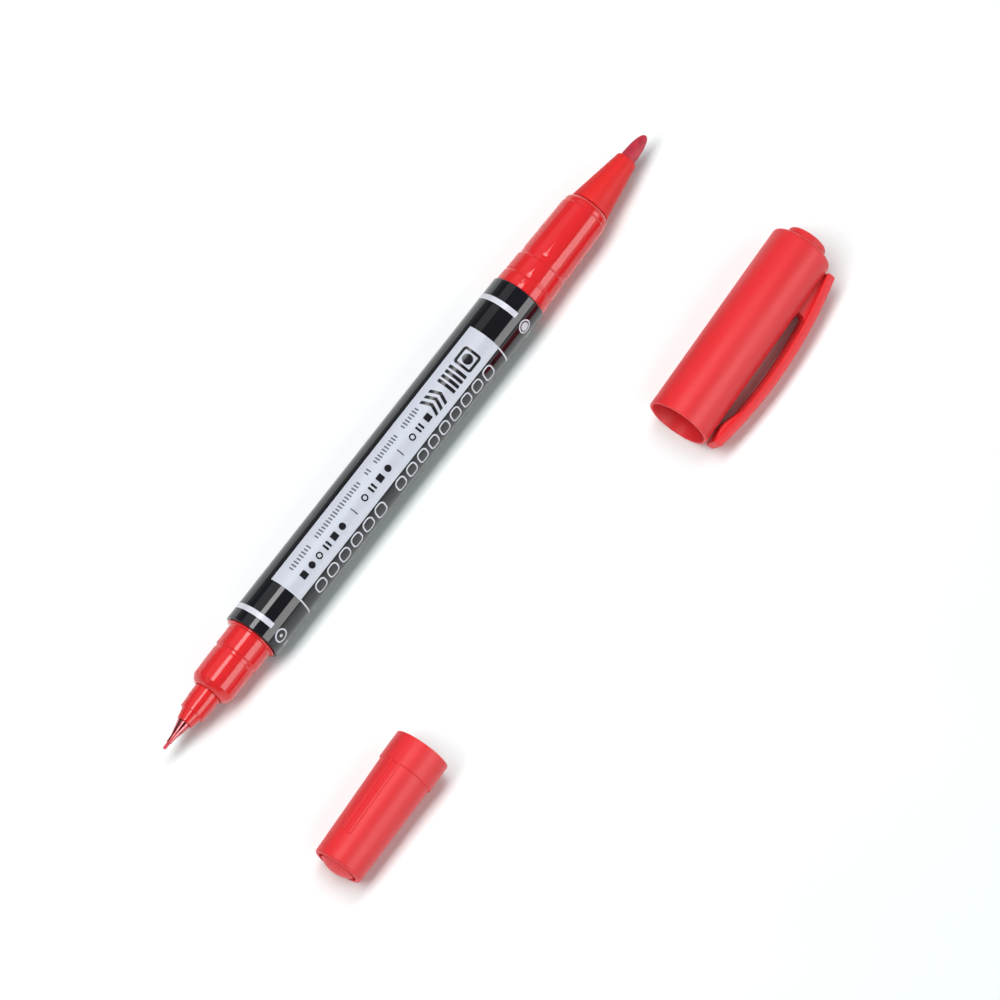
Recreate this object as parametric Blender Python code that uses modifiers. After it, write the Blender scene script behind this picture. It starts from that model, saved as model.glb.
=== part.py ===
"""Red twin-tip marker, uncapped: the pen and its two caps, lying side by side on a table.

The pen lies along +X, its thick nib towards +X. Both caps lie on its right, at -Y.
+Z is up and everything rests on z = 0, with the middle of the layout at the origin.
Stations are distances along a piece's own axis: along the pen they start at the fine
point, and in a cap they start at its mouth.
"""

import math

import bpy
import bmesh
from mathutils import Vector

MM = 0.001
COLLECTION = "twin_tip_marker"

# The layout on the table
PEN_START_X = -66.75 * MM
PEN_Y = 18.95 * MM
LARGE_CAP_MOUTH = Vector((94.45 * MM, -34.2 * MM))     # from the fine point, seen from above
LARGE_CAP_YAW = math.radians(2.35)
SMALL_CAP_MOUTH = Vector((24.9 * MM, -33.7 * MM))
SMALL_CAP_YAW = math.radians(1.6)
SMALL_CAP_PITCH = math.radians(1.4)                   # it rests on its collar and two ribs
SMALL_CAP_MOUTH_HEIGHT = 5.13 * MM

# The pen
PEN_LENGTH = 132.3 * MM
BARREL_START = 23.5 * MM
BARREL_END = 96.6 * MM
BARREL_RADIUS = 5.1 * MM
BARREL_BORE = 4.35 * MM
SPIGOT_RADIUS = 4.25 * MM
PUSH_GAP = 0.1 * MM

RESERVOIR_START = 29.8 * MM
RESERVOIR_END = 90.2 * MM
RESERVOIR_RADIUS = 3.95 * MM
FILM_INNER = 4.0 * MM
FILM_OUTER = 4.1 * MM
NIB_BITE = 4.0 * MM                                   # how far a wick or nib enters the fibre

HOLDER_START = 5.45 * MM
HOLDER_END = 17.5 * MM
WICK_START = 14.1 * MM
WICK_RADIUS = 0.9 * MM

THICK_SECTION_END = 116.3 * MM
NOSE_START = 105.2 * MM
NOSE_END = 126.9 * MM
THICK_NIB_RADIUS = 1.37 * MM

# The large cap
LARGE_CAP_RADIUS = 5.55 * MM
LARGE_CAP_BORE = 4.75 * MM
LARGE_CAP_LENGTH = 37.2 * MM
STUB_RADIUS = 3.6 * MM
STUB_END = 39.0 * MM

# The pocket clip, whose outer face bows through three radii
CLIP_BELOW_LEVEL = math.radians(21.5)
CLIP_WIDTH = 4.5 * MM
CLIP_THICKNESS = 1.5 * MM
CLIP_TOP = (36.0 * MM, 7.05 * MM)
CLIP_CROWN = (20.0 * MM, 9.2 * MM)
CLIP_TIP = (0.8 * MM, 7.75 * MM)
CLIP_ROOT_END = 27.6 * MM
CLIP_ROOT_GAP = 0.3 * MM

# The small cap
SMALL_COLLAR_RADIUS = 5.0 * MM
SMALL_COLLAR_LENGTH = 5.1 * MM
SMALL_CAP_WIDE = 4.75 * MM
SMALL_CAP_NARROW = 4.4 * MM
SMALL_CAP_LENGTH = 23.95 * MM
SMALL_DOME_HEIGHT = 1.0 * MM
RIB_ANGLES = [math.radians(angle) for angle in (12.0, 30.0, 192.0, 210.0)]
RIB_WIDTH = 0.35 * MM
RIB_HEIGHT = 0.25 * MM
RIB_END = 19.0 * MM

ROUND = 40
FINE_ROUND = 24

RED_GLOSS = (0.84, 0.026, 0.032)
RED_SATIN = (0.87, 0.060, 0.070)
RED_FIBRE = (0.60, 0.022, 0.045)
BARREL_BLACK = (0.010, 0.010, 0.013)
POLISHED_METAL = (0.30, 0.10, 0.10)
NATURAL_PLASTIC = (0.75, 0.72, 0.70)
CLEAR_FILM = (0.80, 0.85, 0.90)


def clear_scene():
    for old in list(bpy.data.objects):
        bpy.data.objects.remove(old, do_unlink=True)


def new_collection(name):
    collection = bpy.data.collections.new(name)
    bpy.context.scene.collection.children.link(collection)
    return collection


def finish_of(name, colour, roughness, metallic=0.0):
    """A piece's own material."""
    material = bpy.data.materials.new(name)
    material.use_nodes = True
    shader = material.node_tree.nodes["Principled BSDF"]
    shader.inputs["Base Color"].default_value = (*colour, 1.0)
    shader.inputs["Roughness"].default_value = roughness
    shader.inputs["Metallic"].default_value = metallic
    return material


def axis_frame(name, collection, location, rotation, parent=None):
    """An empty whose Z axis is the axis of the pieces that hang on it."""
    frame = bpy.data.objects.new(name, None)
    collection.objects.link(frame)
    frame.parent = parent
    frame.location = location
    frame.rotation_euler = rotation
    return frame


def mm(*points):
    """Outline points given in millimetres as (station, radius), in metres."""
    return [(station * MM, radius * MM) for station, radius in points]


def turned(name, outline, frame, collection, material=None, steps=ROUND):
    """A solid turned about its frame's Z axis.

    The outline is (station, radius) points. It runs down the outer side, from the high
    station to the low one, and back up the inside where the piece is hollow.
    """
    mesh = bpy.data.meshes.new(name)
    points = [(radius, 0.0, station) for station, radius in outline]
    links = [(i, i + 1) for i in range(len(points) - 1)]
    if outline[0][1] > 0.0:
        links.append((len(points) - 1, 0))
    mesh.from_pydata(points, links, [])
    piece = bpy.data.objects.new(name, mesh)
    collection.objects.link(piece)
    piece.parent = frame
    screw = piece.modifiers.new("turn", "SCREW")
    screw.axis = "Z"
    screw.angle = math.tau
    screw.steps = steps
    screw.render_steps = steps
    screw.use_merge_vertices = True
    screw.merge_threshold = 0.000001
    screw.use_smooth_shade = True
    if material:
        mesh.materials.append(material)
    return piece


def flat_piece(name, outline, width, frame, collection, material=None):
    """A closed mesh: an outline of (station, radius) points, as wide as given across."""
    curve = bpy.data.curves.new(name, "CURVE")
    curve.dimensions = "2D"
    curve.fill_mode = "BOTH"
    curve.extrude = width / 2
    spline = curve.splines.new("POLY")
    spline.points.add(len(outline) - 1)
    for point, (station, radius) in zip(spline.points, outline):
        point.co = (radius, station, 0.0, 1.0)
    spline.use_cyclic_u = True
    guide = bpy.data.objects.new(name + "_curve", curve)
    collection.objects.link(guide)
    bpy.context.view_layer.update()
    evaluated = guide.evaluated_get(bpy.context.evaluated_depsgraph_get())
    mesh = bpy.data.meshes.new_from_object(evaluated)
    bpy.data.objects.remove(guide, do_unlink=True)
    shape = bmesh.new()
    shape.from_mesh(mesh)
    bmesh.ops.remove_doubles(shape, verts=shape.verts, dist=0.000001)
    bmesh.ops.recalc_face_normals(shape, faces=shape.faces)
    shape.to_mesh(mesh)
    shape.free()
    mesh.name = name
    piece = bpy.data.objects.new(name, mesh)
    collection.objects.link(piece)
    piece.parent = frame
    piece.rotation_euler = (math.pi / 2, 0.0, 0.0)
    if material:
        mesh.materials.append(material)
    return piece


def join_in(piece, added):
    """Makes another shape one solid with the piece, and hides the shape itself."""
    union = piece.modifiers.new("with_" + added.name, "BOOLEAN")
    union.operation = "UNION"
    union.solver = "EXACT"
    union.object = added
    hide_guide(added)


def hide_guide(guide):
    guide.hide_render = True
    guide.display_type = "WIRE"


def dome(base_station, base_radius, height, count=6):
    """Points of a domed end from its top down to its edge."""
    sphere = (base_radius ** 2 + height ** 2) / (2 * height)
    edge_angle = math.asin(base_radius / sphere)
    centre = base_station + height - sphere
    angles = [edge_angle * i / count for i in range(count + 1)]
    return [(centre + sphere * math.cos(a), sphere * math.sin(a)) for a in angles]


def bullet(tip_station, shoulder_station, radius, count=7):
    """Points of a bullet-shaped tip, from its point down to the full radius."""
    length = tip_station - shoulder_station
    angles = [math.pi / 2 * i / count for i in range(count + 1)]
    return [(shoulder_station + length * math.cos(a), radius * math.sin(a)) for a in angles]


# The pen's pieces

def make_barrel(pen, parts):
    """Printed tube that both sections push into."""
    chamfer = 0.12 * MM
    outline = [
        (BARREL_END, BARREL_RADIUS - chamfer),
        (BARREL_END - chamfer, BARREL_RADIUS),
        (BARREL_START + chamfer, BARREL_RADIUS),
        (BARREL_START, BARREL_RADIUS - chamfer),
        (BARREL_START, BARREL_BORE),
        (BARREL_END, BARREL_BORE),
    ]
    turned("barrel", outline, pen, parts, finish_of("barrel_black", BARREL_BLACK, 0.2))


def make_ink_store(pen, parts):
    """Fibre rod that holds the ink, wrapped in film, with a hole bitten by each feed."""
    wick_hole = WICK_RADIUS + PUSH_GAP
    nib_hole = THICK_NIB_RADIUS + PUSH_GAP
    fibre = [
        (RESERVOIR_END - NIB_BITE - PUSH_GAP, 0.0),
        (RESERVOIR_END - NIB_BITE - PUSH_GAP, nib_hole),
        (RESERVOIR_END, nib_hole),
        (RESERVOIR_END, RESERVOIR_RADIUS),
        (RESERVOIR_START, RESERVOIR_RADIUS),
        (RESERVOIR_START, wick_hole),
        (RESERVOIR_START + NIB_BITE + PUSH_GAP, wick_hole),
        (RESERVOIR_START + NIB_BITE + PUSH_GAP, 0.0),
    ]
    turned("ink_reservoir", fibre, pen, parts, finish_of("ink_fibre", RED_FIBRE, 0.9))
    film = [
        (RESERVOIR_END, FILM_OUTER),
        (RESERVOIR_START, FILM_OUTER),
        (RESERVOIR_START, FILM_INNER),
        (RESERVOIR_END, FILM_INNER),
    ]
    turned("reservoir_film", film, pen, parts, finish_of("clear_film", CLEAR_FILM, 0.15))


def make_fine_section(pen, parts):
    """Cap seat at the fine end, with a flange against the barrel and a hollow spigot."""
    spigot_end = BARREL_START + 6.0 * MM
    outline = [
        (spigot_end, SPIGOT_RADIUS),
        (BARREL_START - PUSH_GAP, SPIGOT_RADIUS),
    ] + mm(
        (23.4, 4.5), (23.0, 4.5), (23.0, 4.05), (18.8, 4.02), (18.6, 3.9),
        (13.3, 3.84), (12.7, 3.72), (12.2, 3.35), (11.8, 2.7),
        (11.8, 2.42), (17.7, 2.42), (17.7, 1.1), (19.0, 1.1), (19.0, 3.2),
    ) + [(spigot_end, 3.4 * MM)]
    turned("fine_section", outline, pen, parts, finish_of("fine_section_red", RED_GLOSS, 0.15))


def make_fine_tip(pen, parts):
    """Holder, ferrule and needle-fine nib, and the wick that feeds it."""
    holder = [(HOLDER_END, 2.3 * MM)] + mm(
        (11.7, 2.3), (11.7, 2.42), (7.45, 2.25), (7.4, 1.9)
    ) + [(HOLDER_START, 1.42 * MM)] + mm(
        (5.45, 1.1), (10.4, 1.1), (10.4, 0.45), (13.9, 0.45), (13.9, 1.0)
    ) + [(HOLDER_END, 1.0 * MM)]
    turned("fine_tip_holder", holder, pen, parts,
           finish_of("holder_red", RED_GLOSS, 0.15), FINE_ROUND)
    ferrule = mm(
        (10.2, 1.0), (5.35, 1.0), (5.35, 1.27), (4.2, 0.95), (3.2, 0.68), (2.4, 0.5),
        (1.3, 0.46), (1.3, 0.4), (10.2, 0.4),
    )
    turned("fine_ferrule", ferrule, pen, parts,
           finish_of("ferrule_metal", POLISHED_METAL, 0.12, 1.0), FINE_ROUND)
    nib = mm((13.8, 0.0), (13.8, 0.32), (0.3, 0.32), (0.08, 0.24), (0.0, 0.12), (0.0, 0.0))
    turned("fine_nib", nib, pen, parts, finish_of("fine_nib_red", RED_FIBRE, 0.5), FINE_ROUND)
    wick_end = RESERVOIR_START + NIB_BITE
    wick = [(wick_end, 0.0), (wick_end, WICK_RADIUS), (WICK_START, WICK_RADIUS), (WICK_START, 0.0)]
    turned("fine_wick", wick, pen, parts, finish_of("wick_fibre", RED_FIBRE, 0.9), FINE_ROUND)


def make_thick_section(pen, parts):
    """Cap seat at the thick end: two snap rings, a waist, a long taper and a shoulder."""
    outline = [(THICK_SECTION_END, 3.6 * MM)] + mm(
        (116.0, 3.95), (115.4, 4.2), (114.6, 4.32), (104.4, 4.52), (103.9, 4.44),
        (102.9, 4.5), (102.6, 4.66), (99.5, 4.7), (99.2, 4.78),
    ) + [
        (BARREL_END + PUSH_GAP, 4.8 * MM),
        (BARREL_END + PUSH_GAP, SPIGOT_RADIUS),
        (BARREL_END - 6.0 * MM, SPIGOT_RADIUS),
        (BARREL_END - 6.0 * MM, 3.45 * MM),
    ] + mm((104.5, 3.3), (105.0, 2.75)) + [(THICK_SECTION_END, 2.75 * MM)]
    turned("thick_section", outline, pen, parts, finish_of("thick_section_red", RED_GLOSS, 0.15))


def make_thick_tip(pen, parts):
    """Nose cone pushed into the section, and the bullet nib that runs through to the ink."""
    nose = [
        (NOSE_END, 1.7 * MM),
        (NOSE_END - 0.15 * MM, 1.86 * MM),
        (THICK_SECTION_END + PUSH_GAP, 3.6 * MM),
        (THICK_SECTION_END + PUSH_GAP, 2.65 * MM),
        (NOSE_START, 2.65 * MM),
        (NOSE_START, 1.5 * MM),
        (NOSE_END, 1.47 * MM),
    ]
    turned("thick_nose", nose, pen, parts, finish_of("nose_red", RED_GLOSS, 0.35))
    shoulder = 127.4 * MM
    nib_start = RESERVOIR_END - NIB_BITE
    nib = bullet(PEN_LENGTH, shoulder, THICK_NIB_RADIUS)
    nib += [(nib_start, THICK_NIB_RADIUS), (nib_start, 0.0)]
    turned("thick_nib", nib, pen, parts, finish_of("thick_nib_red", RED_FIBRE, 0.8), FINE_ROUND)


# The large cap

def clip_outer(station):
    """Radius of the clip's outer face: a parabola through its top, crown and tip."""
    radius = 0.0
    knots = (CLIP_TOP, CLIP_CROWN, CLIP_TIP)
    for knot_station, knot_radius in knots:
        weight = 1.0
        for other_station, _ in knots:
            if other_station != knot_station:
                weight *= (station - other_station) / (knot_station - other_station)
        radius += knot_radius * weight
    return radius


def evenly(start, end, count):
    return [start + (end - start) * i / count for i in range(count + 1)]


def make_large_cap(cap, parts, guides):
    """Open tube with a rounded shoulder and the clip's root moulded on its side."""
    outline = [(LARGE_CAP_LENGTH, 4.5 * MM)] + mm(
        (36.95, 5.0), (36.4, 5.38), (35.5, 5.53)
    ) + [
        (35.0 * MM, LARGE_CAP_RADIUS),
        (0.2 * MM, LARGE_CAP_RADIUS),
        (0.0, LARGE_CAP_RADIUS - 0.15 * MM),
        (0.0, LARGE_CAP_BORE + 0.1 * MM),
        (0.2 * MM, LARGE_CAP_BORE),
        (18.6 * MM, 4.7 * MM),
        (36.1 * MM, 4.65 * MM),
        (36.1 * MM, STUB_RADIUS + 0.15 * MM),
        (LARGE_CAP_LENGTH, STUB_RADIUS + 0.15 * MM),
    ]
    satin = finish_of("large_cap_red", RED_SATIN, 0.45)
    shell = turned("large_cap_shell", outline, cap, parts, satin)
    clip = axis_frame("clip_side", parts, (0, 0, 0), (0, 0, CLIP_BELOW_LEVEL - math.pi / 2), cap)
    inside_wall = 4.95 * MM
    root = [(CLIP_TOP[0], inside_wall)]
    root += [(s, clip_outer(s)) for s in evenly(CLIP_TOP[0], CLIP_ROOT_END, 4)]
    root += [(CLIP_ROOT_END, inside_wall)]
    join_in(shell, flat_piece("clip_root", root, CLIP_WIDTH, clip, guides))
    make_clip(clip, parts)
    make_large_plug(cap, parts)


def make_clip(clip, parts):
    """Springy arm of the clip, with a bead inside its tip that grips the cloth."""
    arm_top = CLIP_ROOT_END - CLIP_ROOT_GAP
    pivot_radius = clip_outer(CLIP_ROOT_END) - CLIP_THICKNESS / 2
    pivot = axis_frame("clip_pivot", parts, (pivot_radius, 0, CLIP_ROOT_END), (0, 0, 0), clip)
    bead_top, bead_low = 6.5 * MM, 1.6 * MM
    tip = CLIP_TIP[0]
    outer = [(s, clip_outer(s)) for s in evenly(arm_top, tip + 0.4 * MM, 10)]
    end = [(tip, clip_outer(tip) - 0.4 * MM), (tip, clip_outer(tip) - 1.0 * MM)]
    bead = [
        (bead_low, clip_outer(bead_low) - 1.55 * MM),
        (4.0 * MM, LARGE_CAP_RADIUS + 0.35 * MM),
        (bead_top, clip_outer(bead_top) - CLIP_THICKNESS),
    ]
    inner = [(s, clip_outer(s) - CLIP_THICKNESS) for s in evenly(bead_top, arm_top, 8)[1:]]
    arm = flat_piece("pocket_clip", outer + end + bead + inner, CLIP_WIDTH, pivot, parts,
                     finish_of("clip_red", RED_SATIN, 0.45))
    arm.location = (-pivot_radius, 0, -CLIP_ROOT_END)


def make_large_plug(cap, parts):
    """End plug whose stub shows through the cap, and the liner that seals on the nose."""
    plug = [(STUB_END, 0.0), (STUB_END, STUB_RADIUS - 0.4 * MM)] + mm(
        (38.88, 3.42), (38.6, 3.56)
    ) + [(38.2 * MM, STUB_RADIUS), (36.0 * MM, STUB_RADIUS)] + mm(
        (36.0, 4.4), (35.2, 4.4), (35.2, 2.8), (38.0, 2.8), (38.0, 0.0)
    )
    turned("large_cap_plug", plug, cap, parts, finish_of("large_plug_red", RED_SATIN, 0.45))
    liner = mm(
        (36.9, 0.0), (36.9, 2.6), (34.9, 2.6), (34.9, 4.5), (34.0, 4.5), (34.0, 4.25),
        (19.7, 4.25), (19.7, 3.75), (34.2, 3.65), (34.2, 2.0), (36.3, 2.0), (36.3, 0.0),
    )
    turned("large_cap_liner", liner, cap, parts,
           finish_of("large_liner_natural", NATURAL_PLASTIC, 0.4))


# The small cap

def make_small_cap(cap, parts, guides):
    """Tapered tube with a thicker collar at its mouth and two pairs of grip ribs."""
    rim = 0.15 * MM
    outline = [
        (SMALL_CAP_LENGTH, 3.95 * MM),
        (SMALL_CAP_LENGTH - 0.13 * MM, 4.25 * MM),
        (SMALL_CAP_LENGTH - 0.45 * MM, SMALL_CAP_NARROW),
        (SMALL_COLLAR_LENGTH, SMALL_CAP_WIDE),
        (SMALL_COLLAR_LENGTH, SMALL_COLLAR_RADIUS - rim),
        (SMALL_COLLAR_LENGTH - rim, SMALL_COLLAR_RADIUS),
        (rim, SMALL_COLLAR_RADIUS),
        (0.0, SMALL_COLLAR_RADIUS - rim),
    ] + mm((0.0, 4.32), (0.3, 4.2), (11.3, 4.08), (11.3, 3.5), (22.5, 3.4), (22.5, 3.6)) + [
        (SMALL_CAP_LENGTH, 3.65 * MM),
    ]
    satin = finish_of("small_cap_red", RED_SATIN, 0.45)
    shell = turned("small_cap_shell", outline, cap, parts, satin)
    for number, angle in enumerate(RIB_ANGLES, start=1):
        join_in(shell, grip_rib(f"grip_rib_{number}", angle, cap, guides))
    plug = dome(SMALL_CAP_LENGTH, 3.1 * MM, SMALL_DOME_HEIGHT) + mm(
        (23.3, 3.1), (23.3, 3.5), (22.6, 3.5), (22.6, 2.2), (24.15, 2.2), (24.15, 0.0)
    )
    turned("small_cap_plug", plug, cap, parts, finish_of("small_plug_red", RED_SATIN, 0.4))
    liner = mm(
        (24.0, 0.0), (24.0, 1.9), (22.2, 1.9), (22.2, 3.3), (21.5, 3.3), (21.5, 3.15),
        (12.2, 3.15), (12.2, 2.6), (21.7, 2.5), (21.7, 1.4), (23.6, 1.4), (23.6, 0.0),
    )
    turned("small_cap_liner", liner, cap, parts,
           finish_of("small_liner_natural", NATURAL_PLASTIC, 0.4))


def grip_rib(name, angle, cap, guides):
    """One straight rib along the small cap's tapered side."""
    start = SMALL_COLLAR_LENGTH - 0.5 * MM
    length = RIB_END - start
    middle = start + length / 2
    taper = (SMALL_CAP_WIDE - SMALL_CAP_NARROW) / (SMALL_CAP_LENGTH - SMALL_COLLAR_LENGTH)
    side_radius = SMALL_CAP_WIDE - taper * (middle - SMALL_COLLAR_LENGTH)
    depth = 0.2 * MM
    mesh = bpy.data.meshes.new(name)
    shape = bmesh.new()
    bmesh.ops.create_cube(shape, size=1.0)
    bmesh.ops.scale(shape, vec=(RIB_HEIGHT + depth, RIB_WIDTH, length), verts=shape.verts)
    shape.to_mesh(mesh)
    shape.free()
    rib = bpy.data.objects.new(name, mesh)
    guides.objects.link(rib)
    rib.parent = axis_frame(name + "_side", guides, (0, 0, 0), (0, 0, angle), cap)
    rib.location = (side_radius + (RIB_HEIGHT - depth) / 2, 0, middle)
    rib.rotation_euler = (0, -math.atan(taper), 0)
    return rib


def main():
    clear_scene()
    parts = new_collection(COLLECTION)
    guides = new_collection("guides")

    pen = axis_frame("pen_axis", parts, (PEN_START_X, PEN_Y, BARREL_RADIUS), (0, math.pi / 2, 0))
    make_barrel(pen, parts)
    make_ink_store(pen, parts)
    make_fine_section(pen, parts)
    make_fine_tip(pen, parts)
    make_thick_section(pen, parts)
    make_thick_tip(pen, parts)

    mouth = LARGE_CAP_MOUTH + Vector((PEN_START_X, PEN_Y))
    large_cap = axis_frame("large_cap_axis", parts, (*mouth, LARGE_CAP_RADIUS),
                           (0, math.pi / 2, LARGE_CAP_YAW))
    make_large_cap(large_cap, parts, guides)

    mouth = SMALL_CAP_MOUTH + Vector((PEN_START_X, PEN_Y))
    small_cap = axis_frame("small_cap_axis", parts, (*mouth, SMALL_CAP_MOUTH_HEIGHT),
                           (0, -math.pi / 2 - SMALL_CAP_PITCH, SMALL_CAP_YAW))
    make_small_cap(small_cap, parts, guides)
    bpy.context.view_layer.update()


main()
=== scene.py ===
import math

import bmesh
import bpy
from mathutils import Matrix, Vector


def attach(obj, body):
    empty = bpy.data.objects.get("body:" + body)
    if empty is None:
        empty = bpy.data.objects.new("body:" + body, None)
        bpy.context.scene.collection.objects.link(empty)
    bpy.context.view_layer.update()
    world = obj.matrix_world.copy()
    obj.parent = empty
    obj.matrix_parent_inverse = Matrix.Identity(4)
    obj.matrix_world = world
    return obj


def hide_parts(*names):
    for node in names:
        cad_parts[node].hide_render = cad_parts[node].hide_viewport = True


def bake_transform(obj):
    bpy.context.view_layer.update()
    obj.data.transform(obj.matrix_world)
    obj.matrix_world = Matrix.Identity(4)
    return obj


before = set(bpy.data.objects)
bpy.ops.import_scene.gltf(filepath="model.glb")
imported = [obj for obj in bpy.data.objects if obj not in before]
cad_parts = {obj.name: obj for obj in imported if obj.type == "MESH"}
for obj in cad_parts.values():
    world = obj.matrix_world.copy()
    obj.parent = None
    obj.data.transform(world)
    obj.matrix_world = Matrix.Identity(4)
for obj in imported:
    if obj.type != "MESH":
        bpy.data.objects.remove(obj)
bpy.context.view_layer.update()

# Looks of the red twin-tip marker: the pen and its two caps on a white table.
#
# Each turned piece is drawn as half a section in its own upright place, with Z along its
# axis from station 0 and X for the radius, spun about Z, and then laid where the CAD has
# it. Angles round a piece start at its top and run towards its side: the pen's right
# side, where the caps lie, and for the small cap the side nearer the pen.

MM = 0.001
MICRON = 0.000001
WELD = 0.5 * MICRON
TURN_STEPS = 128
FINE_STEPS = 72
CORNER_STEPS = 4
SHARP = math.radians(35)

PEN_LENGTH = 132.3
BARREL_START = 23.5
BARREL_END = 96.6
BARREL_RADIUS = 5.1
BARREL_BORE = 4.35
SNAP_STATION = 98.2
SNAP_RADIUS = 4.72
NOSE_FRONT = 126.9
NIB_TAIL = 86.2

LARGE_CAP_END = 39.0
LARGE_CAP_RADIUS = 5.55
LARGE_CAP_SHOULDER = 37.2
LARGE_CAP_MOUTH_BORE = 4.78

SMALL_CAP_LENGTH = 23.95
DOME_HEIGHT = 1.0
DOME_RADIUS = 3.1
SMALL_CAP_END = SMALL_CAP_LENGTH + DOME_HEIGHT
COLLAR_END = 5.1
COLLAR_RADIUS = 5.0
TAPER_START_RADIUS = 4.75
TAPER_END_RADIUS = 4.4

CLIP_ANGLE = math.radians(111.5)
CLIP_WIDTH = 4.5
CLIP_THICKNESS = 1.5
WEB_WIDTH = 2.4
BEAD_WIDTH = 3.2
CLIP_TOP = (36.0, 7.05)
CLIP_CROWN = (20.0, 9.2)
CLIP_TIP = (0.8, 7.75)
CLIP_ROOT_END = 27.6

RIB_PAIR_ANGLES = (12.0, 30.0)
RIB_WIDTH = 0.62
RIB_HEIGHT = 0.25
RIB_START = 4.8
RIB_END = 19.0

INK_PROUD = 0.012
INK_DEPTH = 0.03


# Places

def middle(node):
    """Middle of a turned node's surface, which lies on its axis."""
    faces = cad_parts[node].data.polygons
    area = sum(face.area for face in faces)
    return sum((face.center * face.area for face in faces), Vector()) / area


def place_on_axis(low_node, high_node, end_station):
    """Place of pieces on the axis through two turned nodes.

    Z runs along the axis towards the high node, X is the top of the piece and Y its
    side. The high node's far end is at end_station, in millimetres.
    """
    low = middle(low_node)
    along = (middle(high_node) - low).normalized()
    side = along.cross(Vector((0, 0, 1))).normalized()
    top = side.cross(along)
    reach = max((v.co - low).dot(along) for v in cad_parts[high_node].data.vertices)
    start = low + along * (reach - end_station * MM)
    return Matrix.Translation(start) @ Matrix((top, side, along)).transposed().to_4x4()


pen_place = place_on_axis("fine_nib", "thick_nib", PEN_LENGTH)
large_cap_place = place_on_axis("large_cap_liner", "large_cap_plug", LARGE_CAP_END)
small_cap_place = place_on_axis("small_cap_liner", "small_cap_plug", SMALL_CAP_END)
clip_place = large_cap_place @ Matrix.Rotation(CLIP_ANGLE, 4, "Z")


# Modelling

def start_piece(name):
    """A small new plane in edit mode, all selected, to shape into a piece."""
    bpy.ops.object.select_all(action="DESELECT")
    bpy.ops.mesh.primitive_plane_add(size=MM)
    piece = bpy.context.object
    piece.name = name
    piece.data.name = name
    bpy.ops.object.mode_set(mode="EDIT")
    bpy.ops.mesh.select_mode(type="VERT")
    bpy.ops.mesh.select_all(action="SELECT")
    return piece


def select_corner(piece, station, radius):
    """Selects only the outline's corner there."""
    corner = Vector((radius * MM, 0, station * MM))
    shape = bmesh.from_edit_mesh(piece.data)
    for vertex in shape.verts:
        vertex.select = (vertex.co - corner).length < MICRON
    shape.select_flush_mode()
    bmesh.update_edit_mesh(piece.data)


def drawn(name, corners, closed=True):
    """An outline drawn by extruding one point from corner to corner, left in edit mode.

    Each corner is (station, radius) or (station, radius, rounding) in millimetres.
    """
    piece = start_piece(name)
    bpy.ops.mesh.merge(type="CENTER")
    station, radius = corners[0][:2]
    bpy.ops.transform.translate(value=(radius * MM, 0, station * MM))
    for corner in corners[1:] + (corners[:1] if closed else []):
        step = ((corner[1] - radius) * MM, 0, (corner[0] - station) * MM)
        bpy.ops.mesh.extrude_region_move(TRANSFORM_OT_translate={"value": step})
        station, radius = corner[:2]
    bpy.ops.mesh.select_all(action="SELECT")
    bpy.ops.mesh.remove_doubles(threshold=WELD)
    for corner in corners:
        if len(corner) == 3:
            select_corner(piece, corner[0], corner[1])
            bpy.ops.mesh.bevel(offset=corner[2] * MM, affect="VERTICES", segments=CORNER_STEPS)
    bpy.ops.mesh.select_all(action="SELECT")
    return piece


def close_up(piece):
    """Welds the mesh, turns its faces outwards and leaves edit mode."""
    bpy.ops.mesh.select_all(action="SELECT")
    bpy.ops.mesh.remove_doubles(threshold=WELD)
    bpy.ops.mesh.normals_make_consistent(inside=False)
    bpy.ops.object.mode_set(mode="OBJECT")
    return piece


def turned(name, corners, steps=TURN_STEPS):
    """A round piece: an outline spun about Z. It is hollow if no corner is on the axis."""
    piece = drawn(name, corners, closed=min(corner[1] for corner in corners) > 0)
    bpy.ops.mesh.spin(steps=steps, angle=math.tau, center=(0, 0, 0), axis=(0, 0, 1),
                      use_auto_merge=True)
    return close_up(piece)


def only(piece):
    """Makes this the only selected object, and the active one."""
    bpy.ops.object.select_all(action="DESELECT")
    piece.select_set(True)
    bpy.context.view_layer.objects.active = piece


def apply_modifier(piece, kind, **settings):
    """Adds a modifier with these settings and applies it."""
    only(piece)
    modifier = piece.modifiers.new(kind.lower(), kind)
    for setting, value in settings.items():
        setattr(modifier, setting, value)
    bpy.ops.object.modifier_apply(modifier=modifier.name)


def fuse(piece, other):
    """Makes another closed shape one solid with the piece, and removes the shape."""
    apply_modifier(piece, "BOOLEAN", operation="UNION", solver="EXACT", object=other)
    bpy.data.objects.remove(other, do_unlink=True)


def softened_block(angle, radius, station, size, rounding, segments=3, lean=0.0):
    """A block with rounded edges, set at an angle round the axis.

    Its size is given outwards, round and along the axis. It can lean inwards along the axis.
    """
    turn = Matrix.Rotation(angle, 3, "Z") @ Matrix.Rotation(-lean, 3, "Y")
    bpy.ops.object.select_all(action="DESELECT")
    bpy.ops.mesh.primitive_cube_add(
        size=1, rotation=turn.to_euler(), scale=Vector(size) * MM,
        location=Vector((radius * math.cos(angle), radius * math.sin(angle), station)) * MM)
    block = bpy.context.object
    apply_modifier(block, "BEVEL", width=rounding * MM, segments=segments, limit_method="NONE")
    return block


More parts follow.
